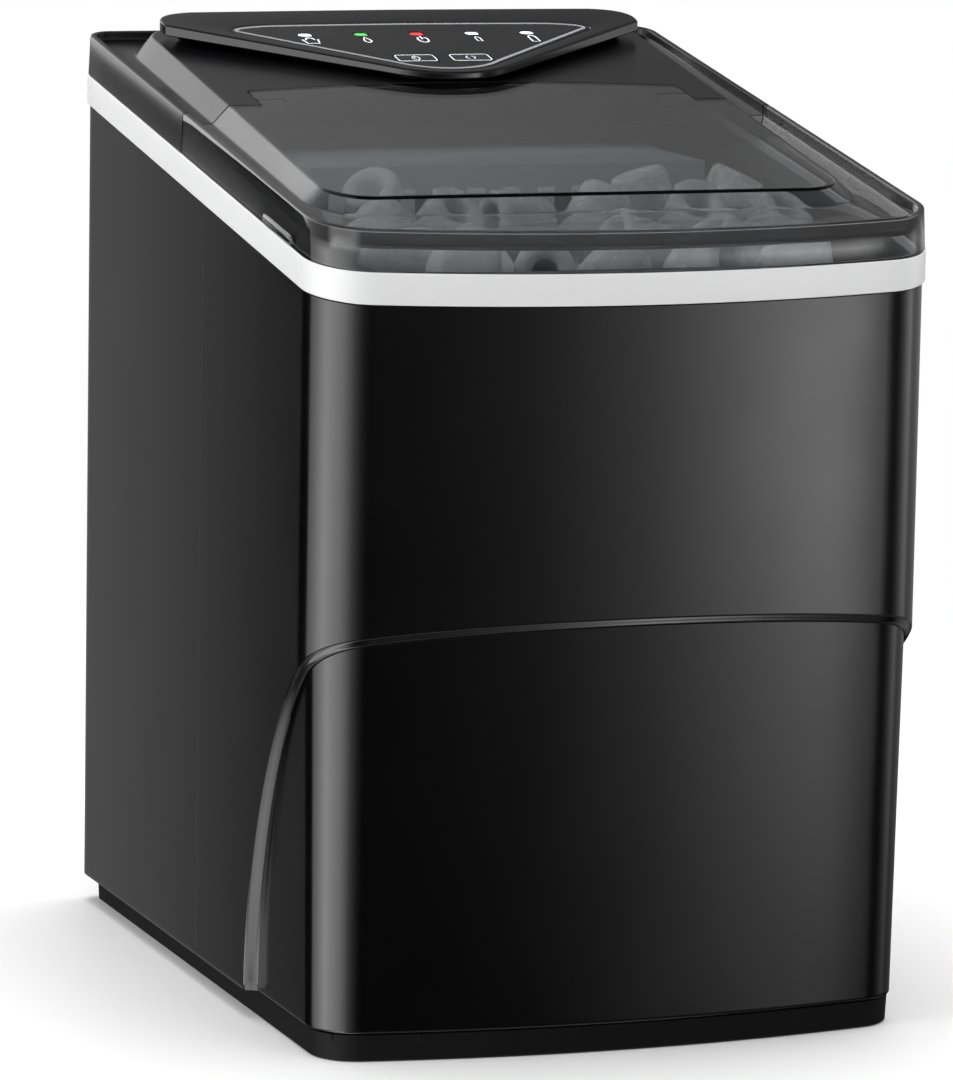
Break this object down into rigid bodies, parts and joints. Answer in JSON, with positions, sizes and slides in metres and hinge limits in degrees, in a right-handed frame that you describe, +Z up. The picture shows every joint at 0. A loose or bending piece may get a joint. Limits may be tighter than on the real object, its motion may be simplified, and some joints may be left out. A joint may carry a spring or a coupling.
{
  "type": "countertop ice maker",
  "caption": "Countertop bullet-ice maker: tall glossy casing, light band, hinged smoky lid over a lift-out ice basket, slanted control pod, and its cooling circuit and water tray inside.",
  "frame": {"origin": "on the resting surface at the centre of the footprint", "axes": "+Z up, front face with the lid's low end towards -Y, +X to the right when looking at the front's back side from above with the front at the bottom of the page"},
  "size_m": [0.224, 0.2908, 0.3342],
  "materials": {
    "black_gloss": "polished",
    "black_satin": "satin",
    "overlay_film": "satin film",
    "key_film": "satin film",
    "white_satin": "satin",
    "smoke_clear": "clear, smoke tinted",
    "lamp_lens": "clear",
    "pale_grey": "satin",
    "basket_grey": "frosted",
    "foam": "open foam",
    "clear_hose": "soft clear",
    "rubber_black": "matte",
    "nickel": "nickel plated",
    "steel": "zinc plated",
    "black_paint": "gloss enamel",
    "aluminium": "bare",
    "copper": "drawn copper",
    "circuit_board": "solder mask"
  },
  "bodies": {
    "casing": {"base_plate": "black_satin", "foot_front_left": "rubber_black", "foot_front_right": "rubber_black", "foot_rear_left": "rubber_black", "foot_rear_right": "rubber_black", "front_housing": "black_gloss", "rear_housing": "black_gloss", "trim_band": "white_satin", "rear_screw_lower_left": "steel", "rear_screw_lower_right": "steel", "rear_screw_upper_left": "steel", "rear_screw_upper_right": "steel", "top_cover": "black_gloss", "control_pod": "black_gloss", "control_overlay": "overlay_film", "display_board": "circuit_board", "lamp_ice_full": "lamp_lens", "lamp_add_water": "lamp_lens", "lamp_power": "lamp_lens", "lamp_small_ice": "lamp_lens", "lamp_large_ice": "lamp_lens", "inner_liner": "pale_grey", "insulation": "foam", "ice_sensor_left": "black_satin", "ice_sensor_right": "black_satin", "evaporator": "nickel", "evaporator_cover": "pale_grey", "tray_motor": "black_satin", "pump": "black_satin", "pump_hose": "clear_hose", "suction_hose": "clear_hose", "drain_spout": "pale_grey", "compressor": "black_paint", "grommet_1": "rubber_black", "grommet_2": "rubber_black", "grommet_3": "rubber_black", "condenser": "aluminium", "fan_frame": "black_satin", "fan_motor": "black_satin", "discharge_pipe": "copper", "suction_pipe": "copper", "hot_gas_pipe": "copper", "filter_drier": "copper", "drier_inlet_pipe": "copper", "drier_outlet_pipe": "copper", "hot_gas_valve": "steel", "board_bracket": "steel", "control_board": "circuit_board", "cord_gland": "rubber_black"},
    "lid": {"lid": "smoke_clear", "lid_pin_left": "steel", "lid_pin_right": "steel"},
    "basket": {"ice_basket": "basket_grey"},
    "tray": {"water_tray": "pale_grey", "tray_shaft": "steel"},
    "shovel": {"ice_shovel": "white_satin"},
    "fan": {"fan_blades": "black_satin"},
    "power_key": {"power_key": "key_film"},
    "select_key": {"select_key": "key_film"},
    "drain_cap": {"drain_cap": "rubber_black"}
  },
  "joints": [
    {"name": "lid_hinge", "type": "hinge", "parent": "casing", "child": "lid", "pos_m": [0, 0.03, 0.30742], "axis": [-1, 0, 0], "range_deg": [0, 75]},
    {"name": "basket_lift", "type": "slide", "parent": "casing", "child": "basket", "axis": [0, 0, 1], "range_m": [0, 0.004]},
    {"name": "tray_tilt", "type": "hinge", "parent": "casing", "child": "tray", "pos_m": [0, 0.024, 0.25194], "axis": [1, 0, 0], "range_deg": [0, 70]},
    {"name": "shovel_push", "type": "slide", "parent": "casing", "child": "shovel", "axis": [0, -1, 0], "range_m": [0, 0.01]},
    {"name": "fan_spin", "type": "hinge", "parent": "casing", "child": "fan", "pos_m": [0.09, 0.07, 0.0751], "axis": [1, 0, 0], "continuous": true},
    {"name": "power_key_press", "type": "slide", "parent": "casing", "child": "power_key", "axis": [0, 0.2125, -0.9772], "range_m": [0, 0.0006], "stiffness_N_per_m": 300, "springref_m": -0.0005},
    {"name": "select_key_press", "type": "slide", "parent": "casing", "child": "select_key", "axis": [0, 0.2125, -0.9772], "range_m": [0, 0.0006], "stiffness_N_per_m": 300, "springref_m": -0.0005},
    {"name": "drain_cap_pull", "type": "slide", "parent": "casing", "child": "drain_cap", "axis": [1, 0, 0], "range_m": [0, 0.012]}
  ],
  "couplings": [
    {"joint": "shovel_push", "follows": "tray_tilt", "m_per_rad": 0.008185}
  ]
}
